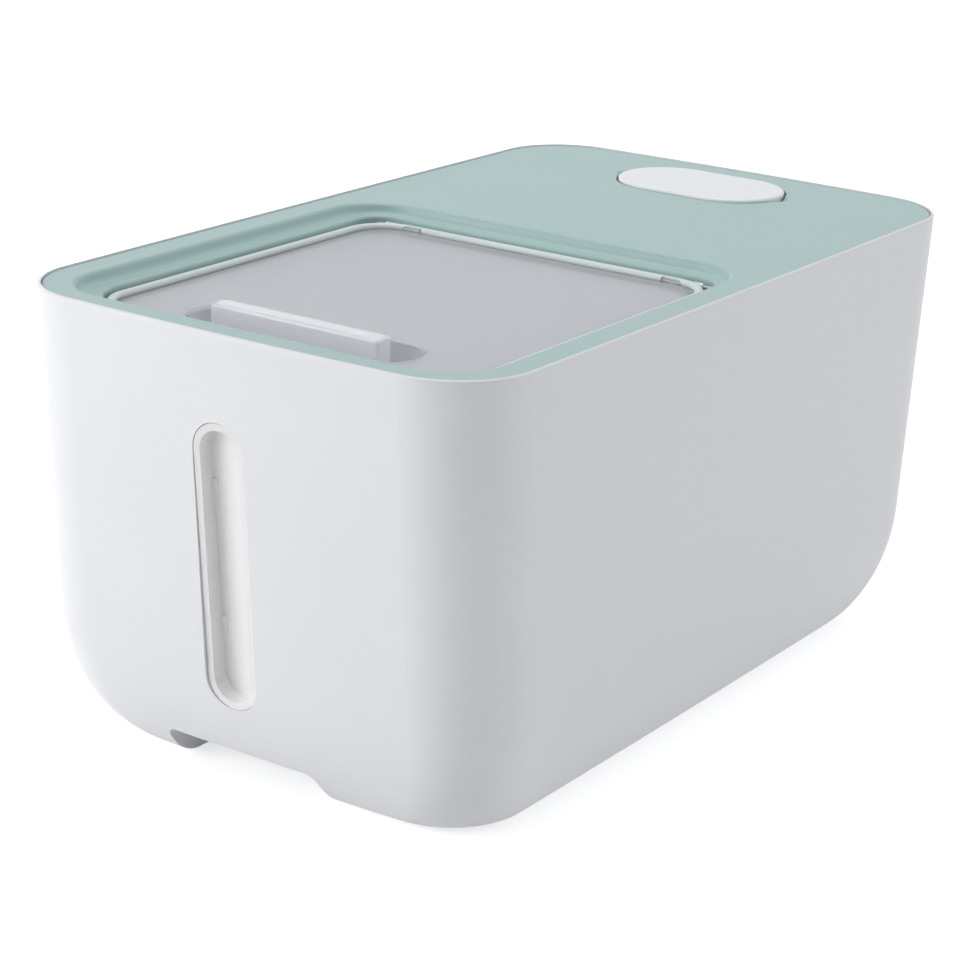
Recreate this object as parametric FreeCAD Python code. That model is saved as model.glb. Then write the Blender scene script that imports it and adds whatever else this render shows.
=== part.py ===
import FreeCAD, Part
import math
import os
from FreeCAD import Vector

# Pet food storage container, in millimetres.
# The origin is the centre of the footprint on the floor, +Z is up and the front faces -Y.

# The white bin's outside
bin_width = 220.8
bin_depth = 383.0
bin_height = 189.0
end_bow = 3.0
side_bow = 0.8
front_lean_deg = 4.85
side_lean_deg = 0.31
rim_corner_radius = 34.7
foot_corner_radius = 32.5
lower_curve_in = 28.0
lower_curve_up = 55.0

# The bin's walls
wall = 2.6
floor_wall = 2.6
rim_lip = 1.4
rim_round = 1.1
shoulder_drop = 16.0
shoulder_reach = 3.4
shoulder_thick = 3.0

# The channel between the two runner feet
channel_x = -9.2
channel_floor_width = 77.0
channel_height = 16.6
channel_draft = 1.6
channel_round = 5.0

# The level window in the front wall
window_x = -4.4
window_width = 23.7
window_bottom = 38.5
window_top = 154.3
window_rim = 2.9
window_rim_thick = 1.3
window_recess = 6.6
window_wall = 1.2
window_boss_wall = 3.4
window_boss_depth = 6.4
window_sunk = 0.25
window_gap = 0.3
window_seal_thick = 0.9
tick_heights = (70.0, 126.0)
tick_length = 6.0
tick_reach = 2.2
tick_thick = 1.0

# The mint cover
cover_gap = 0.35
cover_sunk = 0.5
cover_thick = 2.4
cover_skirt = 2.2
cover_edge_round = 0.8
rib_thick = 1.8
rib_depth = 5.0
ribs_from_well = (35.6, 75.6)

# The well in the cover that the clear lid lies in, placed by the deck left round it
deck_beside_well = 14.8
deck_before_well = 13.7
deck_behind_well = 167.1
well_corner = 23.4
well_depth = 4.6
well_draft = 1.6
well_top_round = 2.2
well_foot_round = 3.0
ledge_side = 6.6
ledge_rear = 4.0
mouth_wall = 2.0
mouth_depth = 20.0
mouth_rear_corner = 12.0
seat_thick = 2.0
seat_side = 6.0
seat_rear = 14.0
mouth_edge_round = 1.2

# The clear lid
lid_gap = 1.0
lid_top_drop = 6.8
lid_edge_width = 3.6
lid_edge_height = 1.9
lid_plate = 2.2
lid_skirt = 2.0
lid_skirt_depth = 6.2
lid_edge_round = 1.5
lid_tongue_width = 1.2
lid_tongue_depth = 0.9
lid_corner = 20.0
seal_rail = 1.4
seal_rail_depth = 2.4

# The finger pocket and the grip bar in the clear lid
pocket_from_well = 34.3
pocket_length = 105.0
pocket_width = 33.0
pocket_depth = 10.2
pocket_draft = 1.2
pocket_floor_round = 2.5
bar_before_pocket = 2.7
bar_length = 79.0
bar_width = 8.8
bar_height = 16.0
bar_wall = 1.8
bar_round = 1.6

# The silicone rings
lid_seal_width = 2.5
lid_seal_gap = 0.1
lid_seal_lip = 1.1
lid_seal_lip_height = 3.0
lid_seal_back = 6.0
cover_seal_thick = 2.0
cover_seal_leg = 1.2
cover_seal_leg_height = 4.0

# The lid's hinge: one pin at each side
hinge_from_well = 8.8
hinge_drop = 8.6
pin_radius = 1.0
pin_length = 29.0
pin_from_well = 5.2
pin_press = 0.02
pin_running = 0.06
socket_wall = 1.9
lug_radius = 1.75
lug_from_pin_end = 17.5
lug_end_wall = 1.5

# The desiccant cap, its cup and the hole for both in the rear deck
cap_from_rear = 42.5
cap_length = 79.5
cap_width = 49.0
cap_rise = 1.4
cap_wall = 1.8
cap_plate = 2.4
cap_round = 1.2
hole_gap = 1.1
step_drop = 6.4
step_thick = 2.0
step_width = 3.2
notch_radius = 7.5
notch_reach = 3.4
notch_depth = 2.6
cup_rim_gap = 0.5
cup_rim_thick = 1.8
cup_wall = 1.6
cup_gap = 0.7
cup_depth = 30.0
cup_floor = 1.6
cup_hole_radius = 1.6
cup_hole_pitch = 6.5
plug_gap = 1.9
plug_depth = 5.6
plug_wall = 1.6
cap_seal_height = 2.2
cap_seal_gap = 0.3
cap_rest_gap = 0.1
sachet_length = 54.0
sachet_width = 27.0
sachet_height = 13.0
sachet_gap = 0.3

# Places across and along the container
well_half_width = bin_width / 2 - deck_beside_well
well_front_y = deck_before_well - bin_depth / 2
well_rear_y = bin_depth / 2 - deck_behind_well
pocket_y = well_front_y + pocket_from_well
bar_y = pocket_y - bar_before_pocket
hinge_y = well_rear_y - hinge_from_well
pin_outer_x = well_half_width - pin_from_well
pin_inner_x = pin_outer_x - pin_length
cap_y = bin_depth / 2 - cap_from_rear

# Heights that several pieces share
deck_top = bin_height - cover_sunk
ledge_z = deck_top - well_depth
lid_top = bin_height - lid_top_drop
plate_top = lid_top - lid_edge_height
plate_under = plate_top - lid_plate
skirt_foot = lid_top - lid_skirt_depth
mouth_foot = bin_height - mouth_depth
seat_top = mouth_foot + seat_thick
shoulder_z = bin_height - shoulder_drop
cover_foot = shoulder_z + cover_seal_thick
hinge_z = bin_height - hinge_drop
step_top = bin_height - step_drop
cup_rim_top = step_top + cup_rim_thick
cap_top = deck_top + cap_rise
cap_foot = cup_rim_top + cap_rest_gap
plug_foot = step_top - plug_depth
cup_foot = step_top - cup_depth
pocket_floor = plate_top - pocket_depth

# The mouth: the opening inside the well's ledge that the clear lid drops into
mouth_half_x = well_half_width - well_draft - ledge_side
mouth_front_y = well_front_y + well_draft + ledge_side
mouth_rear_y = well_rear_y - well_draft - ledge_rear
mouth_corner = lid_corner + lid_gap

# The hole in the rear deck and what fits in it
hole_length = cap_length + 2 * hole_gap
hole_width = cap_width + 2 * hole_gap
throat_length = hole_length - 2 * step_width
throat_width = hole_width - 2 * step_width
cup_length = throat_length - 2 * cup_gap
cup_width = throat_width - 2 * cup_gap
plug_length = cup_length - 2 * cup_wall - 2 * plug_gap
plug_width = cup_width - 2 * cup_wall - 2 * plug_gap

# A little more than nothing, so that a cut runs clean through a face
beyond = 1.0


def rounded_outline(half_x, y_low, y_high, radius, z):
    """A closed level outline: a rectangle about X = 0 with rounded corners."""
    corners = (
        (half_x - radius, y_low + radius, -90),
        (half_x - radius, y_high - radius, 0),
        (radius - half_x, y_high - radius, 90),
        (radius - half_x, y_low + radius, 180),
    )
    arcs = []
    for centre_x, centre_y, start in corners:
        points = []
        for turn in (0, 45, 90):
            angle = math.radians(start + turn)
            reach_x = radius * math.cos(angle)
            reach_y = radius * math.sin(angle)
            points.append(Vector(centre_x + reach_x, centre_y + reach_y, z))
        arcs.append(points)
    edges = []
    for number, points in enumerate(arcs):
        following = arcs[(number + 1) % 4]
        edges.append(Part.Arc(*points).toShape())
        edges.append(Part.LineSegment(points[2], following[0]).toShape())
    return Part.Wire(edges)


def bowed_outline(half_x, half_y, radius, inset, z):
    """The bin's kind of level outline: rounded corners, and ends and sides that bow out a little.

    Every point lies inside the outline of the given half sizes by the same inset.
    """
    end_radius = bow_radius(half_x, end_bow)
    side_radius = bow_radius(half_y, side_bow)
    end_centre = Vector(0, end_radius - half_y, z)
    side_centre = Vector(half_x - side_radius, 0, z)
    between = side_centre - end_centre
    to_end = end_radius - radius
    to_side = side_radius - radius
    along = (to_end ** 2 - to_side ** 2 + between.Length ** 2) / (2 * between.Length)
    aside = math.sqrt(to_end ** 2 - along ** 2)
    unit = between / between.Length
    corner = end_centre + unit * along + Vector(-unit.y, unit.x, 0) * aside
    end_way = (corner - end_centre).normalize()
    side_way = (corner - side_centre).normalize()
    middle_way = (end_way + side_way).normalize()
    turned = []
    for way in (end_way, middle_way, side_way):
        turned.append(corner + way * (radius - inset))
    arcs = []
    for across, along_y in ((1, 1), (1, -1), (-1, -1), (-1, 1)):
        points = [Vector(point.x * across, point.y * along_y, z) for point in turned]
        if across != along_y:
            points.reverse()
        arcs.append(points)
    middles = (
        Vector(half_x - inset, 0, z),
        Vector(0, half_y - inset, z),
        Vector(inset - half_x, 0, z),
        Vector(0, inset - half_y, z),
    )
    edges = []
    for number, points in enumerate(arcs):
        following = arcs[(number + 1) % 4]
        edges.append(Part.Arc(*points).toShape())
        edges.append(Part.Arc(points[2], middles[number], following[0]).toShape())
    return Part.Wire(edges)


def bow_radius(half_length, bow):
    """The radius of an arc that rises by a bow over twice a half length."""
    return (half_length ** 2 + bow ** 2) / (2 * bow)


def upright(outline, height):
    """The solid that a level outline sweeps as it moves up by a height."""
    return Part.Face(outline).extrude(Vector(0, 0, height))


def rounded_block(half_x, y_low, y_high, radius, z_low, z_high):
    """An upright block with rounded corners."""
    return upright(rounded_outline(half_x, y_low, y_high, radius, z_low), z_high - z_low)


def pill_outline(length, width, y_centre, z):
    """A closed level outline: two half circles joined by straight sides along X."""
    radius = width / 2
    reach = length / 2 - radius
    right = (
        Vector(reach, y_centre - radius, z),
        Vector(reach + radius, y_centre, z),
        Vector(reach, y_centre + radius, z),
    )
    left = (
        Vector(-reach, y_centre + radius, z),
        Vector(-reach - radius, y_centre, z),
        Vector(-reach, y_centre - radius, z),
    )
    edges = [
        Part.Arc(*right).toShape(),
        Part.LineSegment(right[2], left[0]).toShape(),
        Part.Arc(*left).toShape(),
        Part.LineSegment(left[2], right[0]).toShape(),
    ]
    return Part.Wire(edges)


def pill_block(length, width, y_centre, z_low, z_high):
    """An upright block on a pill."""
    return upright(pill_outline(length, width, y_centre, z_low), z_high - z_low)


def edges_at(shape, z, half_x=bin_width, y_low=-bin_depth, y_high=bin_depth):
    """The edges of a shape that lie level at a height, within a rectangle about X = 0."""
    found = []
    for edge in shape.Edges:
        level = all(abs(vertex.Z - z) < 0.001 for vertex in edge.Vertexes)
        middle = edge.valueAt((edge.FirstParameter + edge.LastParameter) / 2)
        level = level and abs(middle.z - z) < 0.001
        inside = abs(middle.x) < half_x and y_low < middle.y < y_high
        if level and inside:
            found.append(edge)
    return found


def curve_inset(z, inset):
    """How far in the bin's surface lies at a height, past its straight wall.

    The foot is a quarter ellipse, and an inner surface runs on a smaller one about the same centre.
    """
    if z >= lower_curve_up:
        return inset
    share = (lower_curve_up - z) / (lower_curve_up - inset)
    return lower_curve_in - (lower_curve_in - inset) * math.sqrt(max(0.0, 1 - share * share))


def wall_y(z, inset):
    """Half the bin's length at a height."""
    lean = (bin_height - z) * math.tan(math.radians(front_lean_deg))
    return bin_depth / 2 - lean - curve_inset(z, inset)


def bin_outline(z, inset):
    """The bin's outline at a height, set in from its outer surface."""
    lean = (bin_height - z) * math.tan(math.radians(side_lean_deg))
    curved = curve_inset(z, inset) - inset
    half_x = bin_width / 2 - lean - curved
    half_y = wall_y(z, inset) + inset
    grown = (rim_corner_radius - foot_corner_radius) * z / bin_height
    return bowed_outline(half_x, half_y, foot_corner_radius + grown, inset, z)


def straight_form(z_low, z_high, inset):
    """The bin's form between two heights on its straight walls."""
    return Part.makeLoft([bin_outline(z_low, inset), bin_outline(z_high, inset)], True, True)


def rounded_form(z_low, z_high, inset, radius):
    """The bin's form between two heights on its straight walls, with its top edge rounded."""
    slices = 5
    outlines = []
    for number in range(slices):
        angle = math.pi / 2 * number / (slices - 1)
        z = z_high - radius * (1 - math.sin(angle))
        outlines.append(bin_outline(z, inset + radius * (1 - math.cos(angle))))
    edge = Part.makeLoft(outlines, True, False)
    return straight_form(z_low, z_high - radius, inset).fuse(edge)


def curved_form(inset):
    """The bin's form at its foot, up to the top of the lower curve."""
    slices = 9
    outlines = []
    for number in range(slices):
        angle = math.pi / 2 * number / (slices - 1)
        z = lower_curve_up - (lower_curve_up - inset) * math.cos(angle)
        outlines.append(bin_outline(z, inset))
    return Part.makeLoft(outlines, True, False)


def channel_form(grow):
    """The long channel under the floor, from front to rear, grown on its top and sides."""
    half_low = channel_floor_width / 2 + grow
    half_high = half_low - channel_draft
    top = channel_height + grow
    radius = channel_round + grow
    low = -beyond
    diagonal = radius * (1 - math.sqrt(0.5))
    points = [
        Vector(-half_low, 0, low),
        Vector(half_low, 0, low),
        Vector(half_high, 0, top - radius),
        Vector(half_high - diagonal, 0, top - diagonal),
        Vector(half_high - radius, 0, top),
        Vector(radius - half_high, 0, top),
        Vector(diagonal - half_high, 0, top - diagonal),
        Vector(-half_high, 0, top - radius),
    ]
    edges = [
        Part.LineSegment(points[0], points[1]).toShape(),
        Part.LineSegment(points[1], points[2]).toShape(),
        Part.Arc(points[2], points[3], points[4]).toShape(),
        Part.LineSegment(points[4], points[5]).toShape(),
        Part.Arc(points[5], points[6], points[7]).toShape(),
        Part.LineSegment(points[7], points[0]).toShape(),
    ]
    form = Part.Face(Part.Wire(edges)).extrude(Vector(0, bin_depth, 0))
    form.translate(Vector(channel_x, -bin_depth / 2, 0))
    return form


def window_frame():
    """The window's own frame: its length, and the placement that stands it on the front wall.

    In that frame X is across, Y up along the wall and Z out of it. The plane joins the two
    points where the window's ends meet the wall, so nothing stands proud of the curve.
    """
    low = Vector(window_x, -wall_y(window_bottom, 0), window_bottom)
    high = Vector(window_x, -wall_y(window_top, 0), window_top)
    lean = math.degrees(math.atan2(low.y - high.y, high.z - low.z))
    turn = FreeCAD.Rotation(Vector(1, 0, 0), 90 + lean)
    return (high - low).Length, FreeCAD.Placement((low + high) / 2, turn)


def window_pill(margin, z_low, z_high):
    """A pill in the window's frame, grown past the window's outline, between two depths."""
    length, placement = window_frame()
    pill = pill_block(length + 2 * margin, window_width + 2 * margin, 0, z_low, z_high)
    pill.rotate(Vector(0, 0, 0), Vector(0, 0, 1), 90)
    pill.Placement = placement.multiply(pill.Placement)
    return pill


def window_tick(height):
    """A level mark: a small rib in the corner between the window's left side and its floor."""
    length, placement = window_frame()
    floor = -window_sunk - window_recess
    left = window_rim - window_width / 2
    along = (height - placement.Base.z) / math.cos(math.radians(front_lean_deg))
    rib = Part.makeBox(tick_reach, tick_length, tick_thick)
    rib.translate(Vector(left, along - tick_length / 2, floor))
    rib.Placement = placement.multiply(rib.Placement)
    return rib


def make_outer_body():
    """The white bin: drafted walls, a soft foot, runner feet, a rim and a shoulder for the cover."""
    body = curved_form(0).fuse(rounded_form(lower_curve_up, bin_height, 0, rim_round))
    body = body.cut(channel_form(0))
    shoulder_low = shoulder_z - shoulder_thick
    slope_low = shoulder_low - shoulder_reach
    hollow = curved_form(wall).cut(channel_form(floor_wall))
    hollow = hollow.fuse(straight_form(lower_curve_up, slope_low, wall))
    slope = [bin_outline(slope_low, wall), bin_outline(shoulder_low, wall + shoulder_reach)]
    hollow = hollow.fuse(Part.makeLoft(slope, True, True))
    hollow = hollow.fuse(straight_form(shoulder_low, shoulder_z, wall + shoulder_reach))
    hollow = hollow.fuse(straight_form(shoulder_z, bin_height + beyond, rim_lip))
    body = body.cut(hollow)
    body = body.fuse(window_pill(window_boss_wall, -window_boss_depth, -beyond))
    seat_depth = window_sunk + window_rim_thick + window_seal_thick
    body = body.cut(window_pill(window_gap, -seat_depth, window_boss_depth))
    tub_margin = window_wall - window_rim
    through = window_pill(tub_margin + window_gap, -2 * window_boss_depth, window_boss_depth)
    return body.cut(through).removeSplitter()


def make_level_window():
    """The clear window: a flat rim and a shallow tub behind it, with two level marks."""
    front = -window_sunk
    floor = front - window_recess
    rim = window_pill(0, front - window_rim_thick, front)
    tub = window_pill(window_wall - window_rim, floor - window_wall, front)
    window = rim.fuse(tub).cut(window_pill(-window_rim, floor, front + beyond))
    for height in tick_heights:
        window = window.fuse(window_tick(height))
    return window.removeSplitter()


def make_window_seal():
    """The flat ring between the window's rim and the bin's seat."""
    back = -window_sunk - window_rim_thick
    ring = window_pill(-window_gap, back - window_seal_thick, back)
    inner = window_wall - window_rim + window_gap
    return ring.cut(window_pill(inner, back - window_seal_thick, back))


def lid_outline_block(inset, z_low, z_high):
    """A block on the clear lid's outline, set in from its edge."""
    return rounded_block(
        mouth_half_x - lid_gap - inset,
        mouth_front_y + lid_gap + inset,
        mouth_rear_y - lid_gap - inset,
        lid_corner - inset,
        z_low,
        z_high,
    )


def seal_outline_block(inset, z_low, z_high):
    """A block on the lid seal's outline, which stops short of the hinge at the rear."""
    return rounded_block(
        mouth_half_x - lid_gap - lid_skirt - lid_seal_gap - inset,
        mouth_front_y + lid_gap + lid_skirt + lid_seal_gap + inset,
        hinge_y - lid_seal_back - inset,
        lid_corner - lid_skirt - inset,
        z_low,
        z_high,
    )


def well_form(grow, z_low, z_high):
    """The well in the cover: a shallow tray that widens upwards."""
    forms = []
    for z in (z_low, z_high):
        draft = well_draft * (deck_top - z) / well_depth - grow
        forms.append(
            rounded_outline(
                well_half_width - draft,
                well_front_y + draft,
                well_rear_y - draft,
                well_corner - draft,
                z,
            )
        )
    return Part.makeLoft(forms, True, True)


def mouth_form(grow, z_low, z_high):
    """The mouth's form: its rear corners are tighter than the lid's, so that the lid can turn."""
    half_x = mouth_half_x + grow
    y_low = mouth_front_y - grow
    y_high = mouth_rear_y + grow
    middle = (mouth_front_y + mouth_rear_y) / 2
    front = rounded_block(half_x, y_low, y_high, mouth_corner + grow, z_low, z_high)
    rear = rounded_block(half_x, middle, y_high, mouth_rear_corner + grow, z_low, z_high)
    return front.fuse(rear).removeSplitter()


def hinge_rod(side, radius, x_low, x_high):
    """A round bar on the hinge's axis, at one side, between two distances from the middle."""
    start = Vector(side * x_low, hinge_y, hinge_z)
    return Part.makeCylinder(radius, x_high - x_low, start, Vector(side, 0, 0))


def make_top_cover():
    """The mint cover: a skirted deck with the lid's well, its mouth and seat, and the cap's hole."""
    inset = rim_lip + cover_gap
    cover = rounded_form(cover_foot, deck_top, inset, cover_edge_round)
    under = straight_form(cover_foot - beyond, deck_top - cover_thick, inset + cover_skirt)
    cover = cover.cut(under)
    ledge_under = ledge_z - cover_thick
    cover = cover.fuse(well_form(cover_thick, ledge_under, deck_top - cover_thick / 2))
    cover = cover.fuse(mouth_form(mouth_wall, mouth_foot, ledge_z))
    for distance in ribs_from_well:
        cover = cover.fuse(deck_rib(well_rear_y + distance, inset + cover_skirt / 2))
    socket_from = mouth_half_x - mouth_rear_corner
    for side in (-1, 1):
        socket = hinge_rod(side, pin_radius + socket_wall, socket_from, pin_outer_x + socket_wall)
        cover = cover.fuse(socket)
    well = well_form(0, ledge_z, deck_top + beyond)
    well = well.makeFillet(well_foot_round, edges_at(well, ledge_z))
    cover = cover.cut(well)
    near = beyond / 2
    top_edges = edges_at(
        cover, deck_top, well_half_width + near, well_front_y - near, well_rear_y + near
    )
    cover = cover.makeFillet(well_top_round, top_edges)
    mouth = mouth_form(0, seat_top, ledge_z + beyond)
    throat = rounded_block(
        mouth_half_x - seat_side,
        mouth_front_y + seat_side,
        mouth_rear_y - seat_rear,
        mouth_corner - seat_side,
        mouth_foot - beyond,
        ledge_z,
    )
    cover = cover.cut(mouth).cut(throat)
    mouth_edges = edges_at(
        cover, ledge_z, mouth_half_x + near, mouth_front_y - near, mouth_rear_y + near
    )
    cover = cover.makeFillet(mouth_edge_round, mouth_edges)
    for side in (-1, 1):
        cover = cover.cut(hinge_rod(side, pin_radius + pin_press, pin_inner_x, pin_outer_x))
    return add_cap_hole(cover).removeSplitter()


def deck_rib(y, inset):
    """A stiffening rib across the underside of the rear deck."""
    half_x = bin_width / 2 - inset
    z_high = deck_top - cover_thick / 2
    rib = Part.makeBox(2 * half_x, rib_thick, rib_depth + cover_thick / 2)
    rib.translate(Vector(-half_x, y - rib_thick / 2, z_high - rib_depth - cover_thick / 2))
    return rib


def add_cap_hole(cover):
    """Adds the walled hole for the desiccant cap, its step and the two finger scoops."""
    step_low = step_top - step_thick
    wall_length = hole_length + 2 * cover_thick
    wall_width = hole_width + 2 * cover_thick
    cover = cover.fuse(pill_block(wall_length, wall_width, cap_y, step_low, deck_top - cover_thick / 2))
    dish_radius = (notch_radius ** 2 + notch_depth ** 2) / (2 * notch_depth)
    dish_z = deck_top - notch_depth + dish_radius
    for side in (-1, 1):
        x = side * (hole_length / 2 + notch_reach - notch_radius)
        pad_radius = notch_radius + cover_thick / 2
        pad = Part.makeCylinder(pad_radius, deck_top - cover_thick / 2 - step_low)
        pad.translate(Vector(x, cap_y, step_low))
        cover = cover.fuse(pad)
        cover = cover.cut(Part.makeSphere(dish_radius, Vector(x, cap_y, dish_z)))
    cover = cover.cut(pill_block(hole_length, hole_width, cap_y, step_top, deck_top + beyond))
    return cover.cut(pill_block(throat_length, throat_width, cap_y, step_low - beyond, deck_top))


def make_cover_seal():
    """The ring round the foot of the cover's skirt, with a leg up the skirt's inner face."""
    outer = rim_lip + cover_gap
    inner = outer + cover_skirt
    ring = straight_form(shoulder_z, cover_foot, outer)
    leg = straight_form(shoulder_z, cover_foot + cover_seal_leg_height, inner)
    ring = ring.fuse(leg)
    top = cover_foot + cover_seal_leg_height + beyond
    return ring.cut(straight_form(shoulder_z - beyond, top, inner + cover_seal_leg)).removeSplitter()


def pocket_form(grow, z_low, z_high):
    """The finger pocket: a pill that narrows by its draft towards the floor."""
    forms = []
    for z in (z_low, z_high):
        draft = pocket_draft * (plate_top - z) / pocket_depth
        size = 2 * (grow - draft)
        forms.append(pill_outline(pocket_length + size, pocket_width + size, pocket_y, z))
    return Part.makeLoft(forms, True, True)


def bar_block(inset, z_low, z_high):
    """A block on the grip bar's outline."""
    half = bar_width / 2 - inset
    outline = rounded_outline(
        bar_length / 2 - inset, bar_y - half, bar_y + half, max(bar_round - inset, 0.4), z_low
    )
    return upright(outline, z_high - z_low)


def lid_tongue(z_high):
    """The tongue under the middle of the lid's edge ring, up to a height."""
    side = (lid_edge_width - lid_tongue_width) / 2
    low = plate_top - lid_tongue_depth
    tongue = lid_outline_block(side, low, z_high)
    return tongue.cut(lid_outline_block(lid_edge_width - side, low, z_high))


def lug_rod(side):
    """The round lug at one of the lid's rear corners, which the hinge pin runs in."""
    return hinge_rod(side, lug_radius, pin_inner_x - lug_end_wall, pin_inner_x + lug_from_pin_end)


def make_lid_edge_ring():
    """The soft milky ring on the clear lid's edge: a rounded bead with a tongue in the lid's groove.

    It is notched where the lid's lugs stand up through it.
    """
    bead = lid_outline_block(0, plate_top, lid_top)
    bead = bead.cut(lid_outline_block(lid_edge_width, plate_top, lid_top))
    bead = bead.makeFillet(lid_edge_round, edges_at(bead, lid_top))
    ring = bead.fuse(lid_tongue(plate_top))
    for side in (-1, 1):
        ring = ring.cut(lug_rod(side))
    return ring.removeSplitter()


def make_clear_lid():
    """The clear lid: a plate with a skirt, a groove for its ring, a finger pocket and a grip bar."""
    lid = lid_outline_block(0, skirt_foot, plate_top)
    lid = lid.cut(lid_tongue(plate_top + beyond))
    lid = lid.cut(lid_outline_block(lid_skirt, skirt_foot - beyond, plate_under))
    rail_foot = plate_under - seal_rail_depth
    inner_from = lid_seal_width + lid_seal_gap
    inner_rail = seal_outline_block(inner_from, rail_foot, plate_under)
    inner_rail = inner_rail.cut(seal_outline_block(inner_from + seal_rail, rail_foot, plate_under))
    outer_rail = seal_outline_block(-lid_seal_gap - seal_rail, rail_foot, plate_under)
    outer_rail = outer_rail.cut(seal_outline_block(-lid_seal_gap, rail_foot, plate_under))
    lid = lid.fuse(inner_rail).fuse(outer_rail)
    for side in (-1, 1):
        lid = lid.fuse(lug_rod(side))
    pocket_under = pocket_floor - lid_plate
    lid = lid.fuse(pocket_form(lid_plate, pocket_under, plate_under))
    pocket = pocket_form(0, pocket_floor, plate_top + beyond)
    pocket = pocket.makeFillet(pocket_floor_round, edges_at(pocket, pocket_floor))
    lid = lid.cut(pocket)
    bar_top = pocket_floor + bar_height
    bar = bar_block(0, pocket_floor - lid_plate / 2, bar_top)
    bar = bar.makeFillet(bar_round, edges_at(bar, bar_top))
    lid = lid.fuse(bar)
    lid = lid.cut(bar_block(bar_wall, pocket_under - beyond, bar_top - bar_wall))
    for side in (-1, 1):
        lid = lid.cut(hinge_rod(side, pin_radius + pin_running, pin_inner_x, pin_outer_x))
    return lid.removeSplitter()


def make_lid_seal():
    """The milky ring under the lid's edge, with a thinner lip that meets the cover's seat."""
    lip_top = seat_top + lid_seal_lip_height
    ring = seal_outline_block(0, lip_top, plate_under)
    ring = ring.cut(seal_outline_block(lid_seal_width, lip_top, plate_under))
    side = (lid_seal_width - lid_seal_lip) / 2
    lip = seal_outline_block(side, seat_top, lip_top)
    lip = lip.cut(seal_outline_block(lid_seal_width - side, seat_top, lip_top))
    return ring.fuse(lip).removeSplitter()


def make_hinge_pin(side):
    """One hinge pin, tight in the cover's socket and free in the lid's lug."""
    end_gap = pin_running
    return hinge_rod(side, pin_radius, pin_inner_x + end_gap, pin_outer_x - end_gap)


def make_desiccant_cap():
    """The white cap: a pill-shaped lid with a plug that enters the cup."""
    cap = pill_block(cap_length, cap_width, cap_y, cap_foot, cap_top)
    cap = cap.makeFillet(cap_round, edges_at(cap, cap_top))
    inner_length = cap_length - 2 * cap_wall
    inner_width = cap_width - 2 * cap_wall
    plate_low = cap_top - cap_plate
    cap = cap.cut(pill_block(inner_length, inner_width, cap_y, cap_foot - beyond, plate_low))
    plug = pill_block(plug_length, plug_width, cap_y, plug_foot, plate_low)
    bore_length = plug_length - 2 * plug_wall
    bore_width = plug_width - 2 * plug_wall
    plug = plug.cut(pill_block(bore_length, bore_width, cap_y, plug_foot, plate_low))
    return cap.fuse(plug).removeSplitter()


def make_cap_seal():
    """The ring round the plug, just clear of the cup's wall."""
    low = plug_foot + plug_wall
    high = low + cap_seal_height
    reach = 2 * (plug_gap - cap_seal_gap)
    ring = pill_block(plug_length + reach, plug_width + reach, cap_y, low, high)
    return ring.cut(pill_block(plug_length, plug_width, cap_y, low, high))


def make_desiccant_cup():
    """The cup: it hangs by its rim from the deck's step, and its floor and sides are pierced."""
    rim_length = hole_length - 2 * cup_rim_gap
    rim_width = hole_width - 2 * cup_rim_gap
    cup = pill_block(rim_length, rim_width, cap_y, step_top, cup_rim_top)
    cup = cup.fuse(pill_block(cup_length, cup_width, cap_y, cup_foot, cup_rim_top))
    inner_length = cup_length - 2 * cup_wall
    inner_width = cup_width - 2 * cup_wall
    floor = cup_foot + cup_floor
    cup = cup.cut(pill_block(inner_length, inner_width, cap_y, floor, cup_rim_top + beyond))
    return cup.cut(Part.makeCompound(cup_holes(inner_length, inner_width))).removeSplitter()


def cup_holes(inner_length, inner_width):
    """Round holes over the cup's floor and upright slots along its two straight sides."""
    cutters = []
    margin = cup_hole_radius + cup_wall
    radius = inner_width / 2 - margin
    reach = inner_length / 2 - inner_width / 2
    across = int(inner_length / 2 / cup_hole_pitch)
    along = int(inner_width / 2 / cup_hole_pitch)
    for column in range(-across, across + 1):
        for row in range(-along, along + 1):
            x = column * cup_hole_pitch
            y = row * cup_hole_pitch
            from_middle = math.hypot(max(abs(x) - reach, 0), y)
            if from_middle < radius:
                start = Vector(x, cap_y + y, cup_foot - beyond)
                cutters.append(Part.makeCylinder(cup_hole_radius, cup_floor + 2 * beyond, start))
    slot_low = cup_foot + cup_depth / 4
    slot_height = cup_depth / 2
    for column in range(-int(reach / cup_hole_pitch), int(reach / cup_hole_pitch) + 1):
        slot = Part.makeBox(cup_hole_radius, cup_width + 2 * beyond, slot_height)
        x = column * cup_hole_pitch - cup_hole_radius / 2
        slot.translate(Vector(x, cap_y - cup_width / 2 - beyond, slot_low))
        cutters.append(slot)
    return cutters


def make_desiccant_sachet():
    """The sachet: a soft pillow that lies on the cup's floor."""
    low = cup_foot + cup_floor + sachet_gap
    pillow = Part.makeBox(sachet_length, sachet_width, sachet_height)
    pillow.translate(Vector(-sachet_length / 2, cap_y - sachet_width / 2, low))
    return pillow.makeFillet(sachet_height * 0.4, pillow.Edges)


nodes = {
    "outer_body": make_outer_body(),
    "level_window": make_level_window(),
    "window_seal": make_window_seal(),
    "top_cover": make_top_cover(),
    "cover_seal": make_cover_seal(),
    "clear_lid": make_clear_lid(),
    "lid_edge_ring": make_lid_edge_ring(),
    "lid_seal": make_lid_seal(),
    "hinge_pin_left": make_hinge_pin(-1),
    "hinge_pin_right": make_hinge_pin(1),
    "desiccant_cap": make_desiccant_cap(),
    "cap_seal": make_cap_seal(),
    "desiccant_cup": make_desiccant_cup(),
    "desiccant_sachet": make_desiccant_sachet(),
}

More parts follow.
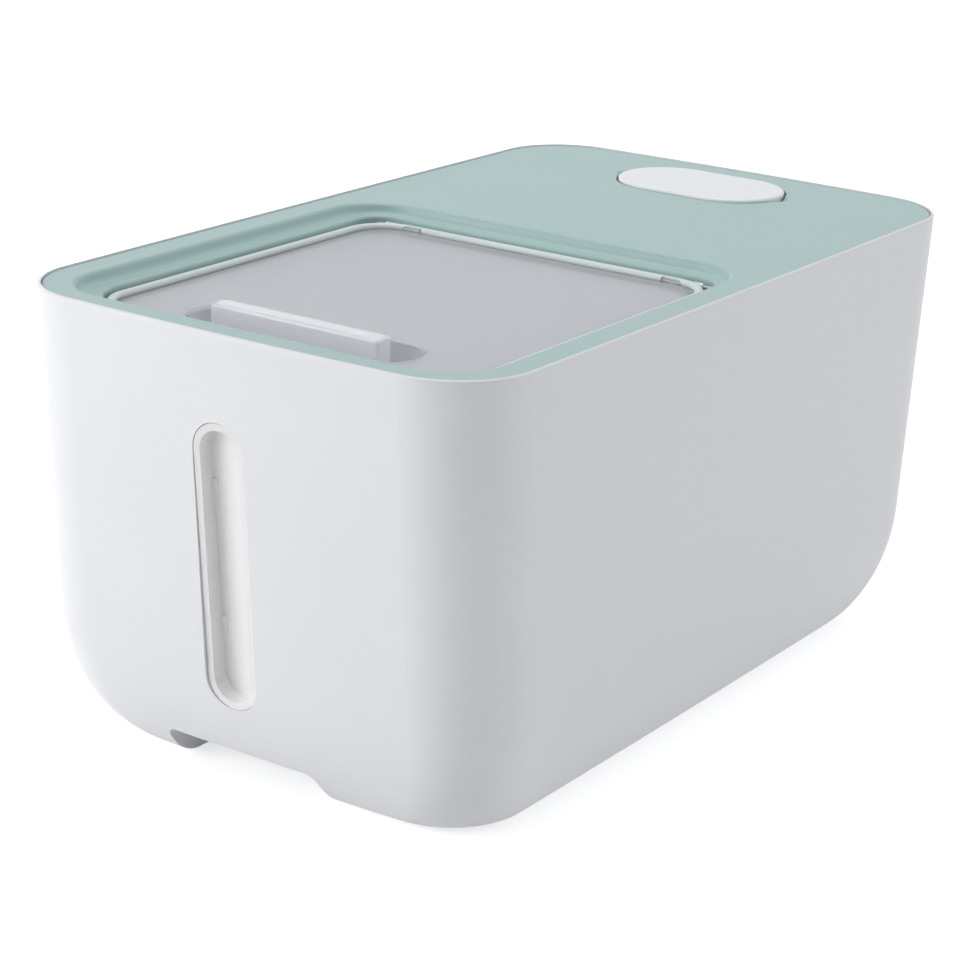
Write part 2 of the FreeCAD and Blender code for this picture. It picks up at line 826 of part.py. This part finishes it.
os.makedirs("parts", exist_ok=True)
for name, shape in nodes.items():
    box = shape.BoundBox
    print(
        f"{name}: {len(shape.Solids)} solid, valid {shape.isValid()}, {shape.Volume / 1000:.1f} cm3, "
        f"x {box.XMin:.1f} {box.XMax:.1f}, y {box.YMin:.1f} {box.YMax:.1f}, z {box.ZMin:.1f} {box.ZMax:.1f}"
    )
    shape.exportStep(f"parts/{name}.step")
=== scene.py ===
import math
import bpy
from mathutils import Matrix, Vector


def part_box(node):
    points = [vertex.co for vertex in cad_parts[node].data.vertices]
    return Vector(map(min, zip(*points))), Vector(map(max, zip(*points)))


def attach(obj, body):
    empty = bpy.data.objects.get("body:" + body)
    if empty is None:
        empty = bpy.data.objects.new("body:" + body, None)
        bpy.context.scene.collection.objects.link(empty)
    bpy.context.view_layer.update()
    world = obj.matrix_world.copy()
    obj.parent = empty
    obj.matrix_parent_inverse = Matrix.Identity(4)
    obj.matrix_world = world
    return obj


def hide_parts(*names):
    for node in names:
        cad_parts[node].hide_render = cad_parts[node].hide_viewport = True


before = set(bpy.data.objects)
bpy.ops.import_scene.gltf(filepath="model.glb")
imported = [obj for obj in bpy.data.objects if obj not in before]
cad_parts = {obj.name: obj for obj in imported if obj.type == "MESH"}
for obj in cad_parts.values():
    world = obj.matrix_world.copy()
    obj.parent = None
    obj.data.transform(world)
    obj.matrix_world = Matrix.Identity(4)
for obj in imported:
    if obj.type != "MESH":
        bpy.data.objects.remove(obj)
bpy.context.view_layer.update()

print("frame loaded")


# Camera: where the photograph was taken from, in metres and degrees
photoView = {
    "azimuth": 33.69,
    "elevation": 18.70,
    "roll": 2.18,
    "distance": 1.1371,
    "aimRight": -0.01031,
    "aimUp": -0.01133,
    "aimHeight": 0.0945,
    "focalPixels": 2688.07,
    "longSidePixels": 971,
    "sensor": 36.0,
    "clipNear": 0.01,
    "clipFar": 100.0,
}


def placeCamera(view):
    turn = math.radians(view["azimuth"])
    rise = math.radians(view["elevation"])
    roll = math.radians(view["roll"])
    back = Vector((math.sin(turn) * math.cos(rise), -math.cos(turn) * math.cos(rise), math.sin(rise)))
    right = (-back).cross(Vector((0, 0, 1))).normalized()
    up = right.cross(-back)
    rolledRight = right * math.cos(roll) + up * math.sin(roll)
    rolledUp = up * math.cos(roll) - right * math.sin(roll)
    spot = back * view["distance"] + right * view["aimRight"] + up * view["aimUp"]
    spot = spot + Vector((0, 0, view["aimHeight"]))
    lens = bpy.data.cameras.new("photoCamera")
    lens.sensor_fit = "AUTO"
    lens.sensor_width = view["sensor"]
    lens.lens = view["focalPixels"] / view["longSidePixels"] * view["sensor"]
    lens.clip_start = view["clipNear"]
    lens.clip_end = view["clipFar"]
    camera = bpy.data.objects.new("photoCamera", lens)
    bpy.context.scene.collection.objects.link(camera)
    axes = Matrix((rolledRight, rolledUp, back)).transposed().to_4x4()
    camera.matrix_world = Matrix.Translation(spot) @ axes
    bpy.context.scene.camera = camera


placeCamera(photoView)
bpy.context.scene.view_settings.view_transform = "Standard"
print("camera placed")


# Small helpers for node trees
def addNode(tree, kind, spot, **settings):
    node = tree.nodes.new(kind)
    node.location = spot
    for name, value in settings.items():
        setattr(node, name, value)
    return node


def setInputs(node, **values):
    for name, value in values.items():
        node.inputs[name.replace("_", " ")].default_value = value


def startMaterial(name):
    material = bpy.data.materials.new(name)
    material.use_nodes = True
    tree = material.node_tree
    tree.nodes.clear()
    output = addNode(tree, "ShaderNodeOutputMaterial", (900, 0))
    shader = addNode(tree, "ShaderNodeBsdfPrincipled", (600, 0))
    tree.links.new(shader.outputs["BSDF"], output.inputs["Surface"])
    return material, tree, shader


# Shared effect: the skin of a moulded plastic piece
skinNoise = {
    "grainDetail": 2.0,
    "grainRoughness": 0.6,
    "mottleDetail": 3.0,
    "mottleRoughness": 0.5,
    "mottleLow": 0.3,
    "mottleHigh": 0.7,
}


def makeMouldedSkin(noise):
    group = bpy.data.node_groups.new("mouldedSkin", "ShaderNodeTree")
    face = group.interface
    defaults = {
        "Grain Scale": 900.0,
        "Mottle Scale": 24.0,
        "Shade Range": 0.03,
        "Rough Level": 0.4,
        "Rough Range": 0.08,
    }
    for name, value in defaults.items():
        socket = face.new_socket(name, in_out="INPUT", socket_type="NodeSocketFloat")
        socket.default_value = value
    for name in ("Height", "Shade", "Roughness"):
        face.new_socket(name, in_out="OUTPUT", socket_type="NodeSocketFloat")
    inside = addNode(group, "NodeGroupInput", (-900, 0))
    outside = addNode(group, "NodeGroupOutput", (600, 0))
    place = addNode(group, "ShaderNodeTexCoord", (-900, 300))
    grain = addNode(group, "ShaderNodeTexNoise", (-600, 300), noise_dimensions="3D")
    setInputs(grain, Detail=noise["grainDetail"], Roughness=noise["grainRoughness"])
    mottle = addNode(group, "ShaderNodeTexNoise", (-600, 0), noise_dimensions="3D")
    setInputs(mottle, Detail=noise["mottleDetail"], Roughness=noise["mottleRoughness"])
    shade = addNode(group, "ShaderNodeMapRange", (-200, 0))
    setInputs(shade, From_Min=noise["mottleLow"], From_Max=noise["mottleHigh"], To_Max=1.0)
    rough = addNode(group, "ShaderNodeMapRange", (-200, -300))
    setInputs(rough, From_Min=noise["mottleLow"], From_Max=noise["mottleHigh"])
    half = addNode(group, "ShaderNodeMath", (-500, -350), operation="MULTIPLY")
    half.inputs[1].default_value = 0.5
    low = addNode(group, "ShaderNodeMath", (-350, -450), operation="SUBTRACT")
    high = addNode(group, "ShaderNodeMath", (-350, -600), operation="ADD")
    dark = addNode(group, "ShaderNodeMath", (-350, 150), operation="SUBTRACT")
    dark.inputs[0].default_value = 1.0
    link = group.links.new
    link(place.outputs["Object"], grain.inputs["Vector"])
    link(place.outputs["Object"], mottle.inputs["Vector"])
    link(inside.outputs["Grain Scale"], grain.inputs["Scale"])
    link(inside.outputs["Mottle Scale"], mottle.inputs["Scale"])
    link(inside.outputs["Shade Range"], dark.inputs[1])
    link(mottle.outputs["Fac"], shade.inputs["Value"])
    link(dark.outputs["Value"], shade.inputs["To Min"])
    link(inside.outputs["Rough Range"], half.inputs[0])
    link(inside.outputs["Rough Level"], low.inputs[0])
    link(half.outputs["Value"], low.inputs[1])
    link(inside.outputs["Rough Level"], high.inputs[0])
    link(half.outputs["Value"], high.inputs[1])
    link(mottle.outputs["Fac"], rough.inputs["Value"])
    link(low.outputs["Value"], rough.inputs["To Min"])
    link(high.outputs["Value"], rough.inputs["To Max"])
    link(grain.outputs["Fac"], outside.inputs["Height"])
    link(shade.outputs["Result"], outside.inputs["Shade"])
    link(rough.outputs["Result"], outside.inputs["Roughness"])
    return group


# Shared effect: a thin veil of dust on what faces up
dustNoise = {
    "upwardFrom": 0.55,
    "speckDetail": 6.0,
    "speckRoughness": 0.7,
    "patchLow": 0.42,
    "patchHigh": 0.72,
}


def makeDustVeil(noise):
    group = bpy.data.node_groups.new("dustVeil", "ShaderNodeTree")
    face = group.interface
    for name, value in (("Amount", 0.1), ("Scale", 60.0)):
        socket = face.new_socket(name, in_out="INPUT", socket_type="NodeSocketFloat")
        socket.default_value = value
    face.new_socket("Mask", in_out="OUTPUT", socket_type="NodeSocketFloat")
    inside = addNode(group, "NodeGroupInput", (-900, 0))
    outside = addNode(group, "NodeGroupOutput", (500, 0))
    place = addNode(group, "ShaderNodeTexCoord", (-900, 300))
    split = addNode(group, "ShaderNodeSeparateXYZ", (-650, 300))
    upward = addNode(group, "ShaderNodeMapRange", (-400, 300))
    setInputs(upward, From_Min=noise["upwardFrom"], From_Max=1.0)
    specks = addNode(group, "ShaderNodeTexNoise", (-650, 0), noise_dimensions="3D")
    setInputs(specks, Detail=noise["speckDetail"], Roughness=noise["speckRoughness"])
    patch = addNode(group, "ShaderNodeMapRange", (-400, 0))
    setInputs(patch, From_Min=noise["patchLow"], From_Max=noise["patchHigh"])
    both = addNode(group, "ShaderNodeMath", (-100, 150), operation="MULTIPLY")
    scaled = addNode(group, "ShaderNodeMath", (150, 100), operation="MULTIPLY")
    link = group.links.new
    link(place.outputs["Normal"], split.inputs["Vector"])
    link(split.outputs["Z"], upward.inputs["Value"])
    link(place.outputs["Object"], specks.inputs["Vector"])
    link(inside.outputs["Scale"], specks.inputs["Scale"])
    link(specks.outputs["Fac"], patch.inputs["Value"])
    link(upward.outputs["Result"], both.inputs[0])
    link(patch.outputs["Result"], both.inputs[1])
    link(both.outputs["Value"], scaled.inputs[0])
    link(inside.outputs["Amount"], scaled.inputs[1])
    link(scaled.outputs["Value"], outside.inputs["Mask"])
    return group


mouldedSkin = makeMouldedSkin(skinNoise)
dustVeil = makeDustVeil(dustNoise)


# The part of the skin that every finish uses: how rough it is, and in patches of what size
def setRoughness(skin, look):
    setInputs(skin, Mottle_Scale=look["mottleScale"])
    setInputs(skin, Rough_Level=look["rough"], Rough_Range=look["roughRange"])


# A moulded, opaque plastic: skin, dust and an even gloss
def makeMouldedPlastic(name, look):
    material, tree, shader = startMaterial(name)
    skin = addNode(tree, "ShaderNodeGroup", (-500, 0), node_tree=mouldedSkin)
    setRoughness(skin, look)
    setInputs(skin, Grain_Scale=look["grainScale"], Shade_Range=look["shadeRange"])
    dust = addNode(tree, "ShaderNodeGroup", (-500, 300), node_tree=dustVeil)
    setInputs(dust, Amount=look["dust"], Scale=look["dustScale"])
    tint = addNode(tree, "ShaderNodeMix", (-100, 300), data_type="RGBA", blend_type="MULTIPLY")
    tint.inputs[0].default_value = 1.0
    tint.inputs[6].default_value = look["colour"]
    veil = addNode(tree, "ShaderNodeMix", (200, 300), data_type="RGBA")
    veil.inputs[7].default_value = look["dustColour"]
    bump = addNode(tree, "ShaderNodeBump", (200, -300))
    setInputs(bump, Strength=look["grainStrength"], Distance=look["grainDepth"])
    link = tree.links.new
    link(skin.outputs["Shade"], tint.inputs[7])
    link(tint.outputs[2], veil.inputs[6])
    link(dust.outputs["Mask"], veil.inputs[0])
    link(veil.outputs[2], shader.inputs["Base Color"])
    link(skin.outputs["Roughness"], shader.inputs["Roughness"])
    link(skin.outputs["Height"], bump.inputs["Height"])
    link(bump.outputs["Normal"], shader.inputs["Normal"])
    setInputs(shader, IOR=look["ior"], Specular_IOR_Level=look["specular"])
    return material


plainPlastic = {
    "grainScale": 1100.0,
    "mottleScale": 20.0,
    "shadeRange": 0.02,
    "rough": 0.42,
    "roughRange": 0.08,
    "dust": 0.04,
    "dustScale": 70.0,
    "dustColour": (0.62, 0.61, 0.58, 1),
    "grainStrength": 0.12,
    "grainDepth": 0.0002,
    "ior": 1.49,
    "specular": 0.5,
}

whiteBin = dict(plainPlastic, colour=(0.80, 0.81, 0.84, 1))
mintCover = dict(plainPlastic, colour=(0.38, 0.54, 0.53, 1), rough=0.45)
whiteCap = dict(plainPlastic, colour=(0.84, 0.87, 0.89, 1), rough=0.36)

binPlastic = makeMouldedPlastic("whitePlastic", whiteBin)
coverPlastic = makeMouldedPlastic("mintPlastic", mintCover)
capPlastic = makeMouldedPlastic("capWhite", whiteCap)


# How far a point lies outside a level rounded rectangle, in metres, less than nothing inside it
def outlineDistance(tree, place, centre, half, corner, spot):
    moved = addNode(tree, "ShaderNodeVectorMath", spot, operation="SUBTRACT")
    moved.inputs[1].default_value = (centre[0], centre[1], 0)
    level = addNode(tree, "ShaderNodeVectorMath", (spot[0] + 150, spot[1]), operation="MULTIPLY")
    level.inputs[1].default_value = (1, 1, 0)
    folded = addNode(tree, "ShaderNodeVectorMath", (spot[0] + 300, spot[1]), operation="ABSOLUTE")
    past = addNode(tree, "ShaderNodeVectorMath", (spot[0] + 450, spot[1]), operation="SUBTRACT")
    past.inputs[1].default_value = (half[0] - corner, half[1] - corner, 0)
    outer = addNode(tree, "ShaderNodeVectorMath", (spot[0] + 600, spot[1]), operation="MAXIMUM")
    outer.inputs[1].default_value = (0, 0, 0)
    length = addNode(tree, "ShaderNodeVectorMath", (spot[0] + 750, spot[1]), operation="LENGTH")
    split = addNode(tree, "ShaderNodeSeparateXYZ", (spot[0] + 600, spot[1] - 200))
    larger = addNode(tree, "ShaderNodeMath", (spot[0] + 750, spot[1] - 200), operation="MAXIMUM")
    inner = addNode(tree, "ShaderNodeMath", (spot[0] + 900, spot[1] - 200), operation="MINIMUM")
    inner.inputs[1].default_value = 0
    both = addNode(tree, "ShaderNodeMath", (spot[0] + 1050, spot[1]), operation="ADD")
    distance = addNode(tree, "ShaderNodeMath", (spot[0] + 1200, spot[1]), operation="SUBTRACT")
    distance.inputs[1].default_value = corner
    link = tree.links.new
    link(place.outputs["Object"], moved.inputs[0])
    link(moved.outputs["Vector"], level.inputs[0])
    link(level.outputs["Vector"], folded.inputs[0])
    link(folded.outputs["Vector"], past.inputs[0])
    link(past.outputs["Vector"], outer.inputs[0])
    link(outer.outputs["Vector"], length.inputs[0])
    link(past.outputs["Vector"], split.inputs["Vector"])
    link(split.outputs["X"], larger.inputs[0])
    link(split.outputs["Y"], larger.inputs[1])
    link(larger.outputs["Value"], inner.inputs[0])
    link(length.outputs["Value"], both.inputs[0])
    link(inner.outputs["Value"], both.inputs[1])
    link(both.outputs["Value"], distance.inputs[0])
    return distance.outputs["Value"]


# Lets lamplight through a clear piece, so that what it covers isn't left in the dark
def passLight(tree, shader, share):
    rays = addNode(tree, "ShaderNodeLightPath", (0, 500))
    alpha = addNode(tree, "ShaderNodeMapRange", (300, 500))
    setInputs(alpha, To_Min=1.0, To_Max=1.0 - share)
    tree.links.new(rays.outputs["Is Shadow Ray"], alpha.inputs["Value"])
    tree.links.new(alpha.outputs["Result"], shader.inputs["Alpha"])


# Clear plastic: a frosted panel, with a clear border beside its ring and a clear finger pocket; the
# border's dark colour is painted shade
clearLid = {
    "panelColour": (0.625, 0.64, 0.68, 1),
    "clearColour": (0.89, 0.90, 0.93, 1),
    # painted shade: the dark colour of the band beside the ring, standing for the shade in it
    "ringShadeColour": (0.33, 0.37, 0.37, 1),
    "underRingColour": (0.96, 1.0, 0.99, 1),
    "ringSoft": 0.0004,
    "haze": 0.45,
    "clearRough": 0.06,
    "ringWidth": 0.0036,
    "lidCorner": 0.020,
    "borderWidth": 0.0045,
    "pocketCentre": (0.0, -0.1435),
    "pocketHalf": (0.0525, 0.0165),
    "barHalf": (0.0395, 0.0050),
    "barCorner": 0.0050 / 3,
    "barBefore": 0.0027,
    "edgeSoft": 0.0006,
    "transmission": 0.6,
    "lightPassed": 0.9,
    "ior": 1.49,
}


def makeLidPlastic(look):
    material, tree, shader = startMaterial("clearPlastic")
    place = addNode(tree, "ShaderNodeTexCoord", (-2600, 0))
    low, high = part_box("clear_lid")
    centre = ((low[0] + high[0]) / 2, (low[1] + high[1]) / 2)
    half = ((high[0] - low[0]) / 2 - look["ringWidth"], (high[1] - low[1]) / 2 - look["ringWidth"])
    corner = look["lidCorner"] - look["ringWidth"]
    edge = outlineDistance(tree, place, centre, half, corner, (-2400, 300))
    pocketCentre = look["pocketCentre"]
    pocketHalf = look["pocketHalf"]
    pocket = outlineDistance(tree, place, pocketCentre, pocketHalf, pocketHalf[1], (-2400, -200))
    barCentre = (pocketCentre[0], pocketCentre[1] - look["barBefore"])
    bar = outlineDistance(tree, place, barCentre, look["barHalf"], look["barCorner"], (-2400, -700))
    border = addNode(tree, "ShaderNodeMapRange", (-900, 300), interpolation_type="SMOOTHSTEP")
    setInputs(border, From_Min=-look["borderWidth"], From_Max=0.0)
    grip = addNode(tree, "ShaderNodeMath", (-900, -300), operation="MINIMUM")
    clear = addNode(tree, "ShaderNodeMapRange", (-700, -300), interpolation_type="SMOOTHSTEP")
    setInputs(clear, From_Min=-look["edgeSoft"], From_Max=look["edgeSoft"], To_Min=1.0, To_Max=0.0)
    rough = addNode(tree, "ShaderNodeMapRange", (-100, -200))
    setInputs(rough, To_Min=look["haze"], To_Max=look["clearRough"])
    most = addNode(tree, "ShaderNodeMath", (-400, -200), operation="MAXIMUM")
    gripTint = addNode(tree, "ShaderNodeMix", (-400, 200), data_type="RGBA")
    gripTint.inputs[6].default_value = look["panelColour"]
    gripTint.inputs[7].default_value = look["clearColour"]
    # Painted shade: the band beside the ring is darkened towards this colour
    ringShadeTint = addNode(tree, "ShaderNodeMix", (-100, 200), data_type="RGBA")
    ringShadeTint.inputs[7].default_value = look["ringShadeColour"]
    under = addNode(tree, "ShaderNodeMapRange", (-400, 500))
    setInputs(under, From_Min=0.0, From_Max=look["ringSoft"])
    underTint = addNode(tree, "ShaderNodeMix", (200, 200), data_type="RGBA")
    underTint.inputs[7].default_value = look["underRingColour"]
    link = tree.links.new
    link(edge, border.inputs["Value"])
    link(pocket, grip.inputs[0])
    link(bar, grip.inputs[1])
    link(grip.outputs["Value"], clear.inputs["Value"])
    link(border.outputs["Result"], most.inputs[0])
    link(clear.outputs["Result"], most.inputs[1])
    link(most.outputs["Value"], rough.inputs["Value"])
    link(rough.outputs["Result"], shader.inputs["Roughness"])
    link(clear.outputs["Result"], gripTint.inputs[0])
    link(gripTint.outputs[2], ringShadeTint.inputs[6])
    link(border.outputs["Result"], ringShadeTint.inputs[0])
    link(edge, under.inputs["Value"])
    link(under.outputs["Result"], underTint.inputs[0])
    link(ringShadeTint.outputs[2], underTint.inputs[6])
    link(underTint.outputs[2], shader.inputs["Base Color"])
    setInputs(shader, IOR=look["ior"], Transmission_Weight=look["transmission"])
    passLight(tree, shader, look["lightPassed"])
    return material


lidPlastic = makeLidPlastic(clearLid)


# Frosted plastic of the level window
windowLook = {
    "colour": (0.97, 0.97, 0.97, 1),
    "rough": 0.38,
    "roughRange": 0.06,
    "mottleScale": 40.0,
    "transmission": 0.3,
    "lightPassed": 0.7,
    "ior": 1.49,
}


def makeWindowPlastic(look):
    material, tree, shader = startMaterial("windowPlastic")
    skin = addNode(tree, "ShaderNodeGroup", (-300, 0), node_tree=mouldedSkin)
    setRoughness(skin, look)
    tree.links.new(skin.outputs["Roughness"], shader.inputs["Roughness"])
    setInputs(shader, Base_Color=look["colour"], IOR=look["ior"], Transmission_Weight=look["transmission"])
    passLight(tree, shader, look["lightPassed"])
    return material


windowPlastic = makeWindowPlastic(windowLook)

milkySeal = dict(
    plainPlastic,
    colour=(0.78, 0.79, 0.78, 1),
    rough=0.55,
    grainScale=500.0,
    specular=0.35,
)
sealSilicone = makeMouldedPlastic("milkySilicone", milkySeal)
milkyBead = dict(milkySeal, colour=(0.70, 0.77, 0.76, 1), rough=0.35, specular=0.5)
beadSilicone = makeMouldedPlastic("beadSilicone", milkyBead)

steelLook = {
    "colour": (0.36, 0.38, 0.38, 1),
    "rough": 0.6,
    "roughRange": 0.12,
    "mottleScale": 300.0,
}


def makePinSteel(look):
    material, tree, shader = startMaterial("pinSteel")
    skin = addNode(tree, "ShaderNodeGroup", (-300, 0), node_tree=mouldedSkin)
    setRoughness(skin, look)
    tree.links.new(skin.outputs["Roughness"], shader.inputs["Roughness"])
    setInputs(shader, Base_Color=look["colour"], Metallic=1.0)
    return material


pinSteel = makePinSteel(steelLook)


# The sachet: a filled paper packet. It is blown up as cloth at simScale times its size, where
# cloth behaves better, and then brought down to the room it has in the cup
sachetLook = dict(
    plainPlastic,
    colour=(0.80, 0.79, 0.76, 1),
    rough=0.75,
    grainScale=1500.0,
    grainStrength=0.4,
    specular=0.2,
)
sachetPaper = makeMouldedPlastic("sachetPaper", sachetLook)

sachet = {
    "cells": (44, 22),
    "gap": 0.004,
    "crown": 0.035,
    "simScale": 10.0,
    "pressure": 2.5,
    "mass": 0.2,
    "airDamping": 4,
    "stretchStiffness": 40,
    "bendStiffness": 2,
    "frames": 18,
    "maxHeight": 0.0105,
}


def selectOnly(piece):
    bpy.ops.object.select_all(action="DESELECT")
    piece.select_set(True)
    bpy.context.view_layer.objects.active = piece


def fitSachet(piece, low, high, look):
    points = piece.data.vertices
    reach = [max(abs(point.co[axis]) for point in points) for axis in range(2)]
    heights = [point.co.z for point in points]
    middle = (max(heights) + min(heights)) / 2
    tall = max(heights) - min(heights)
    shareX = (high[0] - low[0]) / 2 / reach[0]
    shareY = (high[1] - low[1]) / 2 / reach[1]
    shareZ = look["maxHeight"] / tall
    for point in points:
        point.co.x = (low[0] + high[0]) / 2 + point.co.x * shareX
        point.co.y = (low[1] + high[1]) / 2 + point.co.y * shareY
        point.co.z = (low[2] + look["maxHeight"] / 2) + (point.co.z - middle) * shareZ


def makeSachet(look):
    low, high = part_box("desiccant_sachet")
    long = (high[0] - low[0]) * look["simScale"]
    wide = (high[1] - low[1]) * look["simScale"]
    bpy.ops.object.select_all(action="DESELECT")
    cellsLong, cellsWide = look["cells"]
    bpy.ops.mesh.primitive_grid_add(x_subdivisions=cellsLong, y_subdivisions=cellsWide, size=1)
    piece = bpy.context.active_object
    piece.name = "desiccantPacket"
    piece.scale = (long, wide, 1)
    bpy.ops.object.transform_apply(location=False, rotation=False, scale=True)
    bpy.ops.object.mode_set(mode="EDIT")
    bpy.ops.mesh.select_all(action="SELECT")
    bpy.ops.mesh.extrude_region_move(TRANSFORM_OT_translate={"value": (0, 0, look["gap"])})
    bpy.ops.mesh.select_all(action="SELECT")
    bpy.ops.mesh.normals_make_consistent(inside=False)
    bpy.ops.object.mode_set(mode="OBJECT")
    for point in piece.data.vertices:
        side = 1 if point.co.z > look["gap"] / 2 else -1
        swell = (1 - (2 * point.co.x / long) ** 2) * (1 - (2 * point.co.y / wide) ** 2)
        point.co.z += side * look["crown"] * max(swell, 0)
    cloth = piece.modifiers.new("paper", "CLOTH")
    cloth.settings.mass = look["mass"]
    cloth.settings.air_damping = look["airDamping"]
    cloth.settings.use_pressure = True
    cloth.settings.uniform_pressure_force = look["pressure"]
    cloth.settings.tension_stiffness = look["stretchStiffness"]
    cloth.settings.compression_stiffness = look["stretchStiffness"]
    cloth.settings.bending_stiffness = look["bendStiffness"]
    cloth.settings.effector_weights.gravity = 0
    cloth.point_cache.frame_end = look["frames"] + 1
    scene = bpy.context.scene
    for step in range(1, look["frames"] + 1):
        scene.frame_set(step)
    selectOnly(piece)
    bpy.ops.object.modifier_apply(modifier="paper")
    scene.frame_set(1)
    fitSachet(piece, low, high, look)
    finer = piece.modifiers.new("finer", "SUBSURF")
    finer.levels = 1
    finer.render_levels = 1
    bpy.ops.object.modifier_apply(modifier="finer")
    bpy.ops.object.shade_smooth()
    piece.data.materials.append(sachetPaper)
    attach(piece, "cup")
    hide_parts("desiccant_sachet")


makeSachet(sachet)
print("sachet filled")


# Which finish each CAD node wears
nodeFinishes = {
    "outer_body": binPlastic,
    "level_window": windowPlastic,
    "window_seal": sealSilicone,
    "top_cover": coverPlastic,
    "cover_seal": sealSilicone,
    "clear_lid": lidPlastic,
    "lid_edge_ring": beadSilicone,
    "lid_seal": sealSilicone,
    "hinge_pin_left": pinSteel,
    "hinge_pin_right": pinSteel,
    "desiccant_cap": capPlastic,
    "cap_seal": sealSilicone,
    "desiccant_cup": capPlastic,
}

for nodeName, finish in nodeFinishes.items():
    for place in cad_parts[nodeName].material_slots:
        place.material = finish
print("finishes set on", len(nodeFinishes), "nodes")


# Floor, world and lamps
stageLook = {
    "floorSize": 12.0,
    "floorColour": (0.92, 0.92, 0.92, 1),
    "floorGlow": 0.60,
    "worldColour": (1.0, 1.0, 1.0, 1),
    "worldLight": 0.336,
    "worldSeen": 1.0,
}


def makeFloor(look):
    bpy.ops.object.select_all(action="DESELECT")
    bpy.ops.mesh.primitive_plane_add(size=look["floorSize"], location=(0, 0, 0))
    floor = bpy.context.active_object
    floor.name = "studioFloor"
    material = bpy.data.materials.new("studioFloor")
    material.use_nodes = True
    tree = material.node_tree
    tree.nodes.clear()
    output = addNode(tree, "ShaderNodeOutputMaterial", (700, 0))
    matte = addNode(tree, "ShaderNodeBsdfDiffuse", (200, 100))
    matte.inputs["Color"].default_value = look["floorColour"]
    glow = addNode(tree, "ShaderNodeEmission", (200, -100))
    rays = addNode(tree, "ShaderNodeLightPath", (-400, -100))
    some = addNode(tree, "ShaderNodeMath", (-200, -100), operation="ADD")
    seen = addNode(tree, "ShaderNodeMath", (-100, -250), operation="ADD")
    seen.use_clamp = True
    strength = addNode(tree, "ShaderNodeMath", (50, -200), operation="MULTIPLY")
    strength.inputs[1].default_value = look["floorGlow"]
    total = addNode(tree, "ShaderNodeAddShader", (450, 0))
    link = tree.links.new
    link(rays.outputs["Is Camera Ray"], some.inputs[0])
    link(rays.outputs["Is Glossy Ray"], some.inputs[1])
    link(some.outputs["Value"], seen.inputs[0])
    link(rays.outputs["Is Transmission Ray"], seen.inputs[1])
    link(seen.outputs["Value"], strength.inputs[0])
    link(strength.outputs["Value"], glow.inputs["Strength"])
    link(matte.outputs["BSDF"], total.inputs[0])
    link(glow.outputs["Emission"], total.inputs[1])
    link(total.outputs["Shader"], output.inputs["Surface"])
    floor.data.materials.append(material)


def makeWorld(look):
    world = bpy.data.worlds.new("studioWorld")
    bpy.context.scene.world = world
    world.use_nodes = True
    tree = world.node_tree
    tree.nodes.clear()
    output = addNode(tree, "ShaderNodeOutputWorld", (500, 0))
    sky = addNode(tree, "ShaderNodeBackground", (200, 0))
    sky.inputs["Color"].default_value = look["worldColour"]
    rays = addNode(tree, "ShaderNodeLightPath", (-600, 0))
    some = addNode(tree, "ShaderNodeMath", (-400, 0), operation="ADD")
    seen = addNode(tree, "ShaderNodeMath", (-250, -100), operation="ADD")
    seen.use_clamp = True
    strength = addNode(tree, "ShaderNodeMapRange", (0, 0))
    setInputs(strength, To_Min=look["worldLight"], To_Max=look["worldSeen"])
    link = tree.links.new
    link(rays.outputs["Is Camera Ray"], some.inputs[0])
    link(rays.outputs["Is Glossy Ray"], some.inputs[1])
    link(some.outputs["Value"], seen.inputs[0])
    link(rays.outputs["Is Transmission Ray"], seen.inputs[1])
    link(seen.outputs["Value"], strength.inputs["Value"])
    link(strength.outputs["Result"], sky.inputs["Strength"])
    link(sky.outputs["Background"], output.inputs["Surface"])


# All lamps face the middle of the bin
lampAim = (0, 0, 0.09)
lamps = {
    "frontLeft": {"spot": (-0.95, -1.25, 0.5), "size": 0.8, "power": 12.0},
    "rightRear": {"spot": (2.2, 0.9, 0.9), "size": 1.2, "power": 10.0},
    "overhead": {"spot": (-0.4, 0.4, 2.2), "size": 1.4, "power": 20.0},
}


def placeLamp(name, look):
    lamp = bpy.data.lights.new(name, "AREA")
    lamp.shape = "SQUARE"
    lamp.size = look["size"]
    lamp.energy = look["power"]
    holder = bpy.data.objects.new(name, lamp)
    bpy.context.scene.collection.objects.link(holder)
    spot = Vector(look["spot"])
    aim = Vector(lampAim) - spot
    turn = aim.to_track_quat("-Z", "Y").to_matrix().to_4x4()
    holder.matrix_world = Matrix.Translation(spot) @ turn


makeFloor(stageLook)
makeWorld(stageLook)
for lampName, lampLook in lamps.items():
    placeLamp(lampName, lampLook)
print("stage lit")
